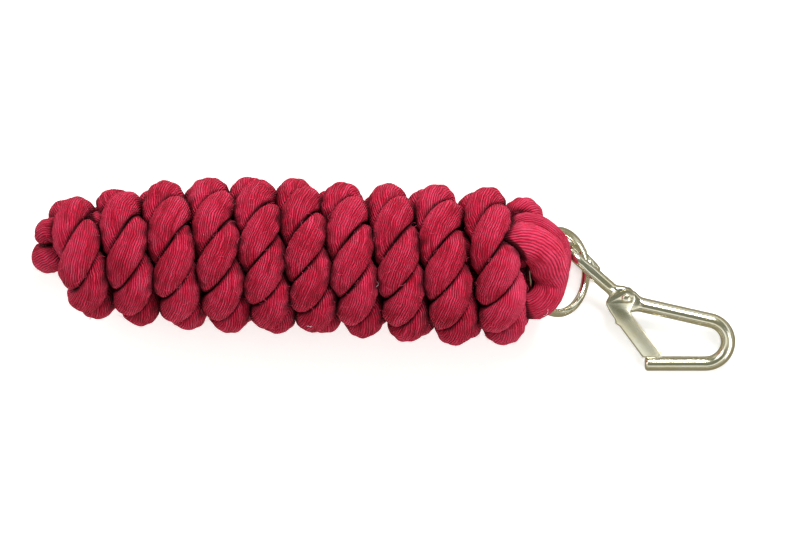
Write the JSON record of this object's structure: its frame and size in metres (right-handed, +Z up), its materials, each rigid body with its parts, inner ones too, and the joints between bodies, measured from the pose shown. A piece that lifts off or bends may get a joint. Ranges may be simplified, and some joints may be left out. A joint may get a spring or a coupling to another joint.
{
  "type": "lead rope",
  "caption": "Soft twisted rope wound into a hank, spliced through a steel ring that carries a bar hook with a sprung folded gate.",
  "frame": {"origin": "centre of the whole object's footprint, on the surface it lies on", "axes": "+Z up, +X along the hank towards the hook, +Y across the hank, away from the hook's nose"},
  "size_m": [0.3313, 0.0919, 0.064],
  "materials": {
    "cotton_rope": "soft matt spun yarn",
    "plated_ring": "bright plate",
    "plated_bar": "bright plate",
    "plated_sheet": "bright plate",
    "plated_rivet": "plated, peened",
    "spring_steel": "tempered strip"
  },
  "bodies": {
    "rope": {"rope_hank": "cotton_rope", "rope_eye": "cotton_rope"},
    "ring": {"ring": "plated_ring"},
    "hook": {"hook_bar": "plated_bar"},
    "gate": {"gate": "plated_sheet", "gate_rivet": "plated_rivet", "gate_spring": "spring_steel"}
  },
  "joints": [
    {"name": "ring_swing", "type": "hinge", "parent": "rope", "child": "ring", "pos_m": [0.0672, 0.0012, 0.0361], "axis": [0, -1, 0], "range_deg": [0, 40]},
    {"name": "hook_swing", "type": "hinge", "parent": "ring", "child": "hook", "pos_m": [0.09405, 0.00592, 0.00861], "axis": [0.169, -0.9703, -0.1731], "range_deg": [0, 55]},
    {"name": "gate_pivot", "type": "hinge", "parent": "hook", "child": "gate", "pos_m": [0.11345, -0.01064, 0.01235], "axis": [0, -0.2622, 0.965], "range_deg": [0, 27], "stiffness_Nm_per_rad": 0.35, "springref_deg": -20.05, "deforming": ["gate_spring"]}
  ]
}
